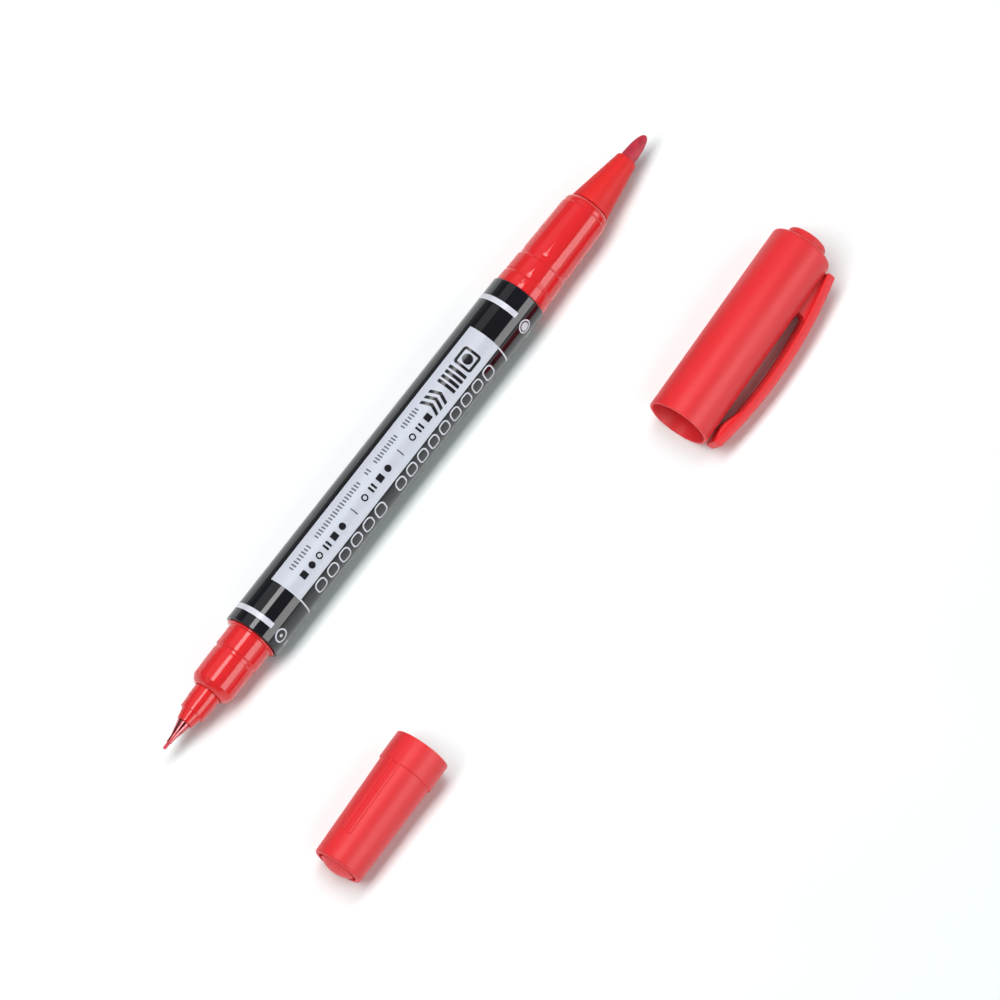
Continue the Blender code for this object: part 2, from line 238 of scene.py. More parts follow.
def finished(piece, place, body, slot, material, *nodes):
    """Lays a piece in its place, smooths and paints it, and hangs it on its body."""
    only(piece)
    piece.matrix_world = place
    bpy.ops.object.transform_apply(location=True, rotation=True, scale=True)
    bpy.ops.object.shade_smooth_by_angle(angle=SHARP)
    piece.data.materials.clear()
    piece.data.materials.append(material)
    if body:
        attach(piece, body)
    if nodes:
        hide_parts(*nodes)
    return piece


# Effects that several materials use

FIRST_COLOUR, SECOND_COLOUR, MIXED_COLOUR = 6, 7, 2


class Wiring:
    """A node tree and short ways to add nodes to it and join them."""

    def __init__(self, tree):
        self.tree = tree

    def add(self, kind, inputs=None, **settings):
        node = self.tree.nodes.new(kind)
        for setting, value in settings.items():
            setattr(node, setting, value)
        for name, value in (inputs or {}).items():
            self.set(node.inputs[name], value)
        return node

    def set(self, socket, value):
        """Joins another node's output to a socket, or gives it a plain value."""
        if isinstance(value, bpy.types.NodeSocket):
            self.tree.links.new(value, socket)
        else:
            socket.default_value = value

    def maths(self, operation, first, second):
        """Two values added or multiplied."""
        node = self.add("ShaderNodeMath", operation=operation)
        self.set(node.inputs[0], first)
        self.set(node.inputs[1], second)
        return node.outputs[0]

    def spread(self, value, low, high, to_low=0.0, to_high=1.0):
        """A value moved from one range to another, and held inside it."""
        node = self.add("ShaderNodeMapRange", {
            "Value": value, "From Min": low, "From Max": high,
            "To Min": to_low, "To Max": to_high,
        })
        return node.outputs["Result"]

    def mix(self, factor, first, second, blend_type="MIX"):
        """Two colours mixed. Their sockets share one name, so they go by number."""
        node = self.add("ShaderNodeMix", data_type="RGBA", blend_type=blend_type)
        self.set(node.inputs["Factor"], factor)
        self.set(node.inputs[FIRST_COLOUR], first)
        self.set(node.inputs[SECOND_COLOUR], second)
        return node.outputs[MIXED_COLOUR]

    def noise(self, vector, scale, detail=2.0, roughness=0.5):
        node = self.add("ShaderNodeTexNoise", {
            "Vector": vector, "Scale": scale, "Detail": detail, "Roughness": roughness,
        })
        return node.outputs["Fac"]


def effect(name, inputs, outputs):
    """An empty node group with these sockets, given as {name: (kind, default)}."""
    group = bpy.data.node_groups.new(name, "ShaderNodeTree")
    for label, (kind, default) in inputs.items():
        socket = group.interface.new_socket(label, in_out="INPUT", socket_type="NodeSocket" + kind)
        if default is not None:
            socket.default_value = default
    for label, kind in outputs.items():
        group.interface.new_socket(label, in_out="OUTPUT", socket_type="NodeSocket" + kind)
    wiring = Wiring(group)
    return group, wiring, wiring.add("NodeGroupInput"), wiring.add("NodeGroupOutput")


def make_moulded_skin():
    """The skin of moulded plastic: fine grain, soft sink marks and a slightly uneven colour."""
    group, wiring, given, result = effect(
        "moulded_skin",
        {"Colour": ("Color", None), "Mottle": ("Float", 0.05), "Grain Scale": ("Float", 6000.0),
         "Roughness": ("Float", 0.3), "Roughness Change": ("Float", 0.05)},
        {"Colour": "Color", "Roughness": "Float", "Grain": "Float", "Waves": "Float"})
    spot = wiring.add("ShaderNodeTexCoord").outputs["Object"]
    clouds = wiring.noise(spot, 140.0, 3.0, 0.55)
    streaks = wiring.noise(
        wiring.add("ShaderNodeMapping", {"Vector": spot, "Scale": (0.12, 1.0, 1.0)}).outputs[0],
        420.0, 2.0)
    uneven = wiring.spread(wiring.maths("ADD", clouds, streaks), 0.7, 1.3, -1.0, 1.0)
    gain = wiring.maths("ADD", 1.0, wiring.maths("MULTIPLY", uneven, given.outputs["Mottle"]))
    tint = wiring.add("ShaderNodeCombineColor", {"Red": 1.0, "Green": gain, "Blue": gain})
    colour = wiring.mix(1.0, given.outputs["Colour"], tint.outputs[0], "MULTIPLY")
    grain = wiring.noise(spot, given.outputs["Grain Scale"], 3.0, 0.6)
    change = wiring.maths("MULTIPLY", uneven, given.outputs["Roughness Change"])
    wiring.set(result.inputs["Colour"], colour)
    wiring.set(result.inputs["Roughness"], wiring.maths("ADD", given.outputs["Roughness"], change))
    wiring.set(result.inputs["Grain"], grain)
    wiring.set(result.inputs["Waves"], wiring.noise(spot, 260.0, 1.0))
    return group


def make_handling_marks():
    """Hairline scratches along the piece and a few specks of dust, as masks."""
    group, wiring, given, result = effect(
        "handling_marks",
        {"Scratches": ("Float", 0.3), "Dust": ("Float", 0.2)},
        {"Scratches": "Float", "Dust": "Float"})
    spot = wiring.add("ShaderNodeTexCoord").outputs["Object"]
    combed = wiring.add("ShaderNodeMapping", {
        "Vector": spot, "Rotation": (0.0, 0.0, 0.05), "Scale": (0.02, 1.0, 1.0)}).outputs[0]
    lines = wiring.spread(wiring.noise(combed, 9000.0, 2.0), 0.66, 0.72)
    patches = wiring.spread(wiring.noise(spot, 190.0, 2.0), 0.5, 0.62)
    scratches = wiring.maths("MULTIPLY", wiring.maths("MULTIPLY", lines, patches),
                           given.outputs["Scratches"])
    cells = wiring.add("ShaderNodeTexVoronoi", {"Vector": spot, "Scale": 1500.0})
    speck = wiring.spread(cells.outputs["Distance"], 0.07, 0.04)
    chosen = wiring.add("ShaderNodeSeparateColor", {"Color": cells.outputs["Color"]})
    rare = wiring.spread(chosen.outputs["Red"], 0.93, 0.95)
    dust = wiring.maths("MULTIPLY", wiring.maths("MULTIPLY", speck, rare), given.outputs["Dust"])
    wiring.set(result.inputs["Scratches"], scratches)
    wiring.set(result.inputs["Dust"], dust)
    return group


def make_fibre_strands():
    """Bonded fibres that run along the pen: streaks of colour, and their height."""
    group, wiring, given, result = effect(
        "fibre_strands",
        {"Colour": ("Color", None), "Dark Colour": ("Color", None),
         "Strand Scale": ("Float", 5000.0)},
        {"Colour": "Color", "Height": "Float"})
    spot = wiring.add("ShaderNodeTexCoord").outputs["Object"]
    combed = wiring.add("ShaderNodeMapping", {"Vector": spot, "Scale": (0.06, 1.0, 1.0)})
    strands = wiring.noise(combed.outputs[0], given.outputs["Strand Scale"], 3.0, 0.6)
    soaked = wiring.noise(spot, 700.0, 2.0)
    shade = wiring.spread(wiring.maths("ADD", strands, soaked), 0.75, 1.25)
    wiring.set(result.inputs["Colour"],
               wiring.mix(shade, given.outputs["Dark Colour"], given.outputs["Colour"]))
    wiring.set(result.inputs["Height"], strands)
    return group


MOULDED_SKIN = make_moulded_skin()
HANDLING_MARKS = make_handling_marks()
FIBRE_STRANDS = make_fibre_strands()


# Materials

def new_finish(name):
    """A new material, its wiring and its shader."""
    material = bpy.data.materials.new(name)
    material.use_nodes = True
    return material, Wiring(material.node_tree), material.node_tree.nodes["Principled BSDF"]


def placed(wiring, group, **inputs):
    """An effect placed in a material. Input names are given with underscores for spaces."""
    node = wiring.add("ShaderNodeGroup", node_tree=group)
    for name, value in inputs.items():
        wiring.set(node.inputs[name.replace("_", " ")], value)
    return node


def plastic(name, colour, roughness, mottle=0.04, roughness_change=0.03, grain_scale=6000.0,
            grain_depth=1.0, wave_depth=0.0, dust=0.3, specular=0.5):
    """Moulded plastic: its skin, hairline scratches and dust. Depths are in microns."""
    material, wiring, shader = new_finish(name)
    skin = placed(wiring, MOULDED_SKIN, Colour=(*colour, 1.0), Mottle=mottle,
                  Grain_Scale=grain_scale, Roughness=roughness,
                  Roughness_Change=roughness_change)
    marks = placed(wiring, HANDLING_MARKS, Scratches=0.3, Dust=dust)
    dust_grey = (0.75, 0.73, 0.72, 1.0)
    tone = wiring.mix(marks.outputs["Dust"], skin.outputs["Colour"], dust_grey)
    rough = wiring.maths("ADD", skin.outputs["Roughness"],
                       wiring.maths("MULTIPLY", marks.outputs["Scratches"], 0.35))
    wiring.set(shader.inputs["Base Color"], tone)
    wiring.set(shader.inputs["Roughness"], rough)
    shader.inputs["Specular IOR Level"].default_value = specular
    bump = wiring.add("ShaderNodeBump", {"Distance": grain_depth * MICRON,
                                         "Height": skin.outputs["Grain"]})
    if wave_depth:
        waves = wiring.add("ShaderNodeBump", {"Distance": wave_depth * MICRON,
                                              "Height": skin.outputs["Waves"]})
        wiring.set(bump.inputs["Normal"], waves.outputs["Normal"])
    wiring.set(shader.inputs["Normal"], bump.outputs["Normal"])
    return material


def fibre(name, colour, dark, roughness, strand_scale, depth):
    """Bonded fibre soaked with ink, with its strands along the pen."""
    material, wiring, shader = new_finish(name)
    strands = placed(wiring, FIBRE_STRANDS, Colour=(*colour, 1.0), Dark_Colour=(*dark, 1.0),
                     Strand_Scale=strand_scale)
    wiring.set(shader.inputs["Base Color"], strands.outputs["Colour"])
    wiring.set(shader.inputs["Roughness"],
               wiring.spread(strands.outputs["Height"], 0.3, 0.7,
                             roughness + 0.1, roughness - 0.1))
    bump = wiring.add("ShaderNodeBump", {"Distance": depth * MICRON,
                                         "Height": strands.outputs["Height"]})
    wiring.set(shader.inputs["Normal"], bump.outputs["Normal"])
    return material


def wet_metal(name, colour, ink):
    """Polished metal with a thin uneven film of ink on it."""
    material, wiring, shader = new_finish(name)
    spot = wiring.add("ShaderNodeTexCoord").outputs["Object"]
    film = wiring.spread(wiring.noise(spot, 900.0, 3.0), 0.42, 0.62)
    marks = placed(wiring, HANDLING_MARKS, Scratches=0.5, Dust=0.0)
    wiring.set(shader.inputs["Base Color"], wiring.mix(film, (*colour, 1.0), (*ink, 1.0)))
    rough = wiring.maths("ADD", wiring.spread(film, 0.0, 1.0, 0.05, 0.12),
                       wiring.maths("MULTIPLY", marks.outputs["Scratches"], 0.2))
    wiring.set(shader.inputs["Roughness"], rough)
    shader.inputs["Metallic"].default_value = 1.0
    shader.inputs["Coat Weight"].default_value = 1.0
    return material


GLOSS_RED = plastic("gloss_red_plastic", (0.73, 0.020, 0.024), 0.07, grain_depth=0.15,
                    wave_depth=2.0, specular=0.56)
NOSE_RED = plastic("nose_red_plastic", (0.75, 0.020, 0.020), 0.5, grain_depth=1.0,
                   specular=0.25)
SATIN_RED = plastic("satin_red_plastic", (0.77, 0.028, 0.034), 0.42, grain_depth=2.5,
                    mottle=0.07, roughness_change=0.04, specular=0.36)
BLACK_LACQUER = plastic("black_barrel_lacquer", (0.0045, 0.0045, 0.0075), 0.055,
                        grain_depth=0.12, wave_depth=1.5, mottle=0.2, dust=0.25, specular=0.7)
PANEL_INK = plastic("lilac_white_print", (0.555, 0.575, 0.655), 0.42, grain_depth=0.5,
                    mottle=0.012, dust=0.1)
WHITE_INK = plastic("white_print", (0.66, 0.67, 0.74), 0.2, grain_depth=0.3, mottle=0.012,
                    dust=0.1)
DARK_INK = plastic("dark_print", (0.012, 0.012, 0.016), 0.14, grain_depth=0.3, dust=0.1)
GREY_INK = plastic("grey_print", (0.10, 0.10, 0.12), 0.16, grain_depth=0.3, dust=0.1)
NATURAL = plastic("natural_plastic", (0.75, 0.72, 0.70), 0.38)
FILM = plastic("clear_film_plastic", (0.80, 0.85, 0.90), 0.12)
NIB_FIBRE = fibre("nib_fibre", (0.62, 0.022, 0.050), (0.38, 0.010, 0.030), 0.55, 5200.0, 4.0)
INK_FIBRE = fibre("ink_fibre", (0.60, 0.022, 0.045), (0.34, 0.010, 0.025), 0.85, 3200.0, 12.0)
POINT_PLASTIC = plastic("fine_point_plastic", (0.62, 0.035, 0.055), 0.25)
FERRULE_METAL = wet_metal("ink_wet_metal", (0.55, 0.10, 0.11), (0.34, 0.02, 0.03))


def paint_inner_nodes():
    """Finishes for the CAD nodes that stay as they are, inside the pen and the caps."""
    finishes = {
        "ink_reservoir": INK_FIBRE, "fine_wick": INK_FIBRE, "reservoir_film": FILM,
        "large_cap_liner": NATURAL, "small_cap_liner": NATURAL,
    }
    for node, material in finishes.items():
        for material_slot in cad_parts[node].material_slots:
            material_slot.material = material


# The pen

def make_barrel():
    corners = [
        (BARREL_START, BARREL_BORE, 0.1), (BARREL_START, BARREL_RADIUS, 0.2),
        (BARREL_END, BARREL_RADIUS, 0.2), (BARREL_END, BARREL_BORE, 0.1),
    ]
    finished(turned("barrel_tube", corners), pen_place, "pen", "barrel_black",
             BLACK_LACQUER, "barrel")


def make_fine_section():
    """Cap seat with a thin flange, a groove half way and a stepped, rounded front."""
    corners = [
        (29.5, 4.25, 0.2), (23.4, 4.25), (23.4, 4.6, 0.08), (23.15, 4.6, 0.08),
        (23.05, 4.06, 0.05), (19.35, 4.03, 0.1), (19.1, 3.8, 0.08), (18.6, 3.8, 0.08),
        (18.35, 3.9, 0.08), (13.1, 3.84, 0.1), (12.3, 3.35, 0.1), (11.8, 2.75, 0.1),
        (11.8, 2.42), (17.7, 2.42), (17.7, 1.1), (19.0, 1.1), (19.0, 3.2), (29.5, 3.4),
    ]
    finished(turned("fine_cap_seat", corners), pen_place, "pen", "gloss_red", GLOSS_RED,
             "fine_section")


def make_fine_tip():
    holder = [
        (17.5, 2.3), (11.7, 2.3), (11.7, 2.42, 0.06), (9.6, 2.39, 0.08), (9.4, 2.31, 0.08),
        (7.42, 2.24, 0.12), (7.42, 1.9), (5.45, 1.42, 0.12), (5.45, 1.1), (10.4, 1.1),
        (10.4, 0.45), (13.9, 0.45), (13.9, 1.0), (17.5, 1.0),
    ]
    finished(turned("tip_holder", holder, FINE_STEPS), pen_place, "pen", "gloss_red",
             GLOSS_RED, "fine_tip_holder")
    ferrule = [
        (10.2, 1.0), (5.35, 1.0), (5.35, 1.27, 0.05), (4.2, 0.95, 0.3), (3.2, 0.68, 0.3),
        (2.4, 0.5, 0.3), (1.3, 0.46, 0.06), (1.3, 0.4), (10.2, 0.4),
    ]
    finished(turned("ferrule_cone", ferrule, FINE_STEPS), pen_place, "pen", "ferrule_metal",
             FERRULE_METAL, "fine_ferrule")
    point = [(13.8, 0.0), (13.8, 0.32), (0.0, 0.3, 0.18), (0.0, 0.0)]
    finished(turned("fine_point", point, FINE_STEPS), pen_place, "pen", "nib_red",
             POINT_PLASTIC, "fine_nib")


def make_thick_section():
    """Cap seat with two snap rings, grooves, a long taper and a rounded shoulder."""
    corners = [
        (96.7, 4.25), (96.7, 4.8, 0.08), (98.85, 4.78, 0.08), (99.0, 4.6, 0.06),
        (99.3, 4.6, 0.06), (99.45, SNAP_RADIUS, 0.08), (102.6, 4.66, 0.1), (102.8, 4.48, 0.08),
        (103.9, 4.44, 0.06), (104.2, 4.52, 0.1), (114.5, 4.32, 0.1), (114.7, 4.2, 0.06),
        (115.6, 4.14, 0.3), (116.3, 3.6, 0.25), (116.3, 2.75), (105.0, 2.75),
        (104.5, 3.3), (90.6, 3.45), (90.6, 4.25, 0.2),
    ]
    seat = turned("thick_cap_seat", corners)
    for angle in (-3.0, 117.0, 237.0):
        fuse(seat, snap_bead(math.radians(angle)))
    finished(seat, pen_place, "pen", "gloss_red", GLOSS_RED, "thick_section")


def snap_bead(angle):
    """A small raised bead on the snap ring that holds the cap."""
    high, wide, long = 0.16, 0.5, 0.9
    return softened_block(angle, SNAP_RADIUS, SNAP_STATION, (2 * high, wide, long), 0.12)


def make_thick_tip():
    """Nose cone with a small lip, and the bullet nib."""
    nose = [
        (116.4, 3.6, 0.12), (126.2, 1.96, 0.3), (126.6, 1.93, 0.1), (NOSE_FRONT, 1.82, 0.1),
        (NOSE_FRONT, 1.45, 0.05), (105.2, 1.5), (105.2, 2.65), (116.4, 2.65),
    ]
    finished(turned("nose_cone", nose), pen_place, "pen", "nose_red", NOSE_RED, "thick_nose")
    shoulder, radius = NOSE_FRONT + 0.3, 1.37
    bluntness = 0.9
    count = 14
    angles = [math.pi / 2 * i / count for i in range(count + 1)]
    nib = [(shoulder + (PEN_LENGTH - shoulder) * math.cos(a), radius * math.sin(a) ** bluntness)
           for a in angles]
    nib += [(NIB_TAIL, radius), (NIB_TAIL, 0.0)]
    finished(turned("bullet_nib", nib, FINE_STEPS), pen_place, "pen", "nib_red", NIB_FIBRE,
             "thick_nib")


# The print on the barrel, drawn flat with X along the pen and Y round the barrel

def arc(angle):
    """Length round the barrel, in millimetres, from its top to an angle in degrees."""
    return BARREL_RADIUS * math.radians(angle)


def start_print(name):
    piece = start_piece(name)
    bpy.ops.mesh.delete(type="VERT")
    return piece


def patch(start, end, low, high, rounding=0.0):
    """A flat patch between two stations and between two lengths round the barrel."""
    bpy.ops.mesh.select_all(action="DESELECT")
    bpy.ops.mesh.primitive_plane_add(
        size=1, location=((start + end) / 2 * MM, (low + high) / 2 * MM, 0))
    bpy.ops.transform.resize(value=((end - start) * MM, (high - low) * MM, 1.0))
    if rounding:
        bpy.ops.mesh.bevel(offset=rounding * MM, affect="VERTICES", segments=CORNER_STEPS)


def hollow(stroke):
    """Turns the selected patch into its own outline."""
    bpy.ops.mesh.select_mode(type="FACE")
    bpy.ops.mesh.inset(thickness=stroke * MM, use_boundary=True)
    bpy.ops.mesh.delete(type="FACE")
    bpy.ops.mesh.select_mode(type="VERT")


def disc(station, height, radius):
    bpy.ops.mesh.select_all(action="DESELECT")
    bpy.ops.mesh.primitive_circle_add(
        vertices=28, radius=radius * MM, fill_type="NGON",
        location=(station * MM, height * MM, 0))


def print_on_barrel(piece, proud, slot, material):
    """Cuts a flat print across, thickens it, and wraps it round the barrel."""
    corners = [vertex.co.y for vertex in bmesh.from_edit_mesh(piece.data).verts]
    step = arc(4.0) * MM
    for count in range(math.floor(min(corners) / step) + 1, math.ceil(max(corners) / step)):
        bpy.ops.mesh.select_all(action="SELECT")
        bpy.ops.mesh.bisect(plane_co=(0, count * step, 0), plane_no=(0, 1, 0))
    bpy.ops.object.mode_set(mode="OBJECT")
    apply_modifier(piece, "SOLIDIFY", thickness=INK_DEPTH * MM, offset=-1.0)
    for vertex in piece.data.vertices:
        station, length, height = vertex.co
        angle = length / (BARREL_RADIUS * MM)
        radius = BARREL_RADIUS * MM + height + proud * MM
        vertex.co = (radius * math.cos(angle), radius * math.sin(angle), station)
    only(piece)
    bpy.ops.object.mode_set(mode="EDIT")
    close_up(piece)
    finished(piece, pen_place, "pen", slot, material)


PANEL_START, PANEL_END = 32.3, 86.6
PANEL_LOW, PANEL_HIGH = arc(-29.0), arc(41.5)


def make_panel():
    piece = start_print("label_panel")
    patch(PANEL_START, PANEL_END, PANEL_LOW, PANEL_HIGH)
    print_on_barrel(piece, INK_PROUD, "barrel_black", PANEL_INK)


def make_white_print():
    """End stripes, the thin lines beside the panel, nib-size icons and a row of loops."""
    piece = start_print("white_marks")
    stripe = 1.0
    for station in (26.1, 92.6):
        patch(station - stripe / 2, station + stripe / 2, arc(-200.0), arc(30.0))
    icon_radius, icon_stroke = 1.25, 0.28
    line = 0.27
    for station in (PANEL_START, PANEL_END - line):
        patch(station, station + line, PANEL_HIGH + 0.02, arc(86.0))
    for station, angle, dot in ((26.0, 57.0, 0.3), (92.4, 59.0, 0.75)):
        disc(station, arc(angle), icon_radius)
        hollow(icon_stroke)
        disc(station, arc(angle), dot)
        patch(station - 0.6, station + 0.6, arc(angle + 28.0), arc(angle + 32.0), 0.1)
    for first, last, count in ((57.0, 83.9, 9), (35.2, 54.5, 6)):
        loop_row(first, last, count)
    print_on_barrel(piece, INK_PROUD, "barrel_black", WHITE_INK)


def loop_row(first, last, count):
    """A row of outlined rounded loops, the one nearest the thick end a taller one."""
    pitch = (last - first) / count
    width = pitch * 0.78
    rounding = width * 0.36
    stroke = 0.27
    for number in range(count):
        middle_station = first + pitch * (number + 0.5)
        high = 72.0 if number < count - 1 else 76.0
        patch(middle_station - width / 2, middle_station + width / 2, arc(45.0), arc(high),
              rounding)
        hollow(stroke)


def make_dark_print():
    """Three bold pattern blocks and a row of small bold marks between two dividers."""
    piece = start_print("dark_marks")
    block_low, block_high = arc(-12.0), arc(28.0)
    block_middle = (block_low + block_high) / 2
    bar_pitch, bar_width = 1.02, 0.62
    patch(79.8, 83.3, block_low, block_high, 0.6)
    hollow(0.5)
    disc(81.55, block_middle, 0.95)
    for number in range(4):
        start = 75.5 + number * bar_pitch
        patch(start, start + bar_width, block_low, block_high, 0.12)
    for number in range(3):
        chevron(71.4 + number * 1.2, block_middle, (block_high - block_low) / 2)
    mark_height = arc(17.0)
    marks = [36.0, 38.1, 40.1, 42.2, 44.2, 46.3, 52.4, 54.5, 56.6, 58.7, 65.4, 67.4, 69.6]
    for number, station in enumerate(marks):
        small_mark(station, mark_height, number)
    for station in (49.5, 62.1):
        patch(station - 0.09, station + 0.09, mark_height - 0.75, mark_height + 0.75)
    print_on_barrel(piece, 2 * INK_PROUD, "barrel_black", DARK_INK)


def chevron(station, middle_height, reach):
    """A bent bar whose point looks towards the thick end."""
    thick, point = 0.62, 0.75
    for side in (1, -1):
        bpy.ops.mesh.select_all(action="DESELECT")
        bpy.ops.mesh.primitive_plane_add(
            size=1, location=((station + thick / 2) * MM,
                              (middle_height + side * reach / 2) * MM, 0))
        bpy.ops.transform.resize(value=(thick * MM, reach * MM, 1.0))
        slant(middle_height, -side * point / reach)


def slant(from_height, slope):
    """Slides the selected corners along the pen by their distance from a height."""
    piece = bpy.context.object
    shape = bmesh.from_edit_mesh(piece.data)
    for vertex in shape.verts:
        if vertex.select:
            vertex.co.x += (vertex.co.y - from_height * MM) * slope
    bmesh.update_edit_mesh(piece.data)


def small_mark(station, height, number):
    """One of four plain marks, in turn: a tile, a disc, a ring and a pair of bars."""
    half = 0.62
    kind = number % 4
    if kind == 0:
        patch(station - half, station + half, height - half, height + half, 0.15)
    elif kind == 1:
        disc(station, height, half)
    elif kind == 2:
        disc(station, height, half)
        hollow(0.26)
    else:
        for shift in (-0.38, 0.38):
            patch(station + shift - 0.2, station + shift + 0.2, height - half, height + half, 0.08)


def make_grey_print():
    """A row of thin grey ticks in groups, along the panel's left side."""
    piece = start_print("grey_ticks")
    pitch, width = 0.64, 0.27
    row = arc(-9.0)
    for first, last in ((35.2, 40.5), (42.0, 54.0), (55.5, 56.8), (58.0, 64.1), (65.5, 69.9)):
        count = max(2, round((last - first) / pitch))
        for number in range(count):
            station = first + (last - first) * (number + 0.5) / count
            reach = 0.5 if number % 3 else 0.4
            patch(station - width / 2, station + width / 2, row - reach, row + reach, 0.08)
    print_on_barrel(piece, 2 * INK_PROUD, "barrel_black", GREY_INK)


# The large cap

def make_large_cap():
    """Tube with a rounded shoulder, a fine rim and short inner ribs at its mouth."""
    corners = [
        (0.0, 5.12, 0.08), (0.0, LARGE_CAP_RADIUS, 0.1),
        (LARGE_CAP_SHOULDER, LARGE_CAP_RADIUS, 0.75), (LARGE_CAP_SHOULDER, 3.62),
        (36.1, 3.62), (36.1, 4.65), (18.6, 4.7), (2.0, LARGE_CAP_MOUTH_BORE, 0.2),
    ]
    shell = turned("large_cap_body", corners)
    ribs = 8
    for number in range(ribs):
        fuse(shell, inner_rib(math.radians(20.0 + 360.0 / ribs * number)))
    finished(shell, large_cap_place, "large_cap", "satin_red", SATIN_RED, "large_cap_shell")
    plug = [
        (LARGE_CAP_END, 0.0), (LARGE_CAP_END, 3.6, 0.6), (36.0, 3.6), (36.0, 4.4),
        (35.2, 4.4), (35.2, 2.8), (38.0, 2.8), (38.0, 0.0),
    ]
    finished(turned("large_cap_end", plug), large_cap_place, "large_cap", "satin_red",
             SATIN_RED, "large_cap_plug")


def inner_rib(angle):
    """A short rib inside the cap's mouth that takes up its play."""
    start, end = 2.2, 8.0
    width = 0.3
    return softened_block(angle, LARGE_CAP_MOUTH_BORE, (start + end) / 2,
                          (width, width, end - start), 0.09, segments=2)


def clip_outer(station):
    """Radius of the clip's outer face: a parabola through its top, crown and tip."""
    radius = 0.0
    knots = (CLIP_TOP, CLIP_CROWN, CLIP_TIP)
    for knot_station, knot_radius in knots:
        weight = 1.0
        for other_station, _ in knots:
            if other_station != knot_station:
                weight *= (station - other_station) / (knot_station - other_station)
        radius += knot_radius * weight
    return radius


def flat_shape(name, corners, width):
    """A shape of one width, from an outline drawn in the plane through the cap's axis."""
    shape = drawn(name, corners)
    bpy.ops.mesh.edge_face_add()
    bpy.ops.transform.translate(value=(0, -width / 2 * MM, 0))
    bpy.ops.mesh.extrude_region_move(TRANSFORM_OT_translate={"value": (0, width * MM, 0)})
    return close_up(shape)


def make_clip():
    """Bowed plate, with a narrower web to the cap and a narrower bead inside its tip."""
    top, tip = CLIP_TOP[0], CLIP_TIP[0]
    count = 16
    outer = [top - (top - tip) * i / count for i in range(count + 1)]
    face = [(s, clip_outer(s)) for s in outer]
    back = [(s, clip_outer(s) - CLIP_THICKNESS) for s in reversed(outer)]
    for line in (face, back):
        line[0] = (*line[0], 0.35)
        line[-1] = (*line[-1], 0.35)
    clip = flat_shape("clip_arm", face + back, CLIP_WIDTH)
    soften = {"segments": 3, "limit_method": "ANGLE", "angle_limit": math.radians(50)}
    apply_modifier(clip, "BEVEL", width=0.22 * MM, **soften)
    inside_wall = 5.1
    sunk = 0.6
    web_top, fillet = top - 0.2, 0.7
    web_end = CLIP_ROOT_END - fillet
    web = [(web_top, inside_wall)]
    web += [(s, clip_outer(s) - sunk) for s in (web_top, 34.0, 32.0, 30.0, 28.0, web_end)]
    lower = clip_outer(CLIP_ROOT_END) - CLIP_THICKNESS
    web += [(web_end, lower), (CLIP_ROOT_END, lower - 0.5), (CLIP_ROOT_END, inside_wall)]
    fuse(clip, flat_shape("clip_web", web, WEB_WIDTH))
    bead_start, bead_end = 1.2, 8.0
    swell = [(bead_start, clip_outer(bead_start) - sunk), (bead_end, clip_outer(bead_end) - sunk),
             (bead_end, clip_outer(bead_end) - CLIP_THICKNESS - 0.05, 0.4), (4.0, 5.9, 0.9),
             (bead_start, 6.35, 0.4)]
    bead = flat_shape("clip_bead", swell, BEAD_WIDTH)
    apply_modifier(bead, "BEVEL", width=0.3 * MM, **soften)
    fuse(clip, bead)
    only(clip)
    bpy.ops.object.mode_set(mode="EDIT")
    cut = 1.5
    for number in range(1, int(top / cut)):
        bpy.ops.mesh.select_all(action="SELECT")
        bpy.ops.mesh.bisect(plane_co=(0, 0, cut * number * MM), plane_no=(0, 0, 1))
    close_up(clip)
    finished(clip, clip_place, None, "satin_red", SATIN_RED, "pocket_clip")
    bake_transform(clip)


# The small cap

def make_small_cap():
    """Tapered tube with a collar at its mouth and two pairs of grip ribs."""
    corners = [
        (0.0, 4.32), (0.0, COLLAR_RADIUS, 0.12), (COLLAR_END, COLLAR_RADIUS, 0.14),
        (COLLAR_END, TAPER_START_RADIUS, 0.05), (SMALL_CAP_LENGTH, TAPER_END_RADIUS, 0.4),
        (SMALL_CAP_LENGTH, 3.65, 0.06), (22.5, 3.6), (22.5, 3.4), (11.3, 3.5),
        (11.3, 4.08), (0.3, 4.2),
    ]
    shell = turned("small_cap_body", corners)
    for opposite in (0.0, 180.0):
        for angle in RIB_PAIR_ANGLES:
            fuse(shell, grip_rib(math.radians(angle + opposite)))
    finished(shell, small_cap_place, "small_cap", "satin_red", SATIN_RED, "small_cap_shell")
    sphere = (DOME_RADIUS ** 2 + DOME_HEIGHT ** 2) / (2 * DOME_HEIGHT)
    edge = math.asin(DOME_RADIUS / sphere)
    count = 10
    dome = [(SMALL_CAP_END - sphere + sphere * math.cos(edge * i / count),
             sphere * math.sin(edge * i / count)) for i in range(count + 1)]
    plug = dome + [
        (23.3, DOME_RADIUS), (23.3, 3.5), (22.6, 3.5), (22.6, 2.2), (24.15, 2.2), (24.15, 0.0),
    ]
    finished(turned("small_cap_end", plug), small_cap_place, "small_cap", "satin_red",
             SATIN_RED, "small_cap_plug")


def grip_rib(angle):
    """One straight rib along the cap's tapered side, with its edges rounded."""
    slope = (TAPER_START_RADIUS - TAPER_END_RADIUS) / (SMALL_CAP_LENGTH - COLLAR_END)
    station = (RIB_START + RIB_END) / 2
    side = TAPER_START_RADIUS - slope * (station - COLLAR_END)
    depth = 0.2
    return softened_block(angle, side + (RIB_HEIGHT - depth) / 2, station,
                          (RIB_HEIGHT + depth, RIB_WIDTH, RIB_END - RIB_START), 0.14,
                          lean=math.atan(slope))


# Table, light and camera

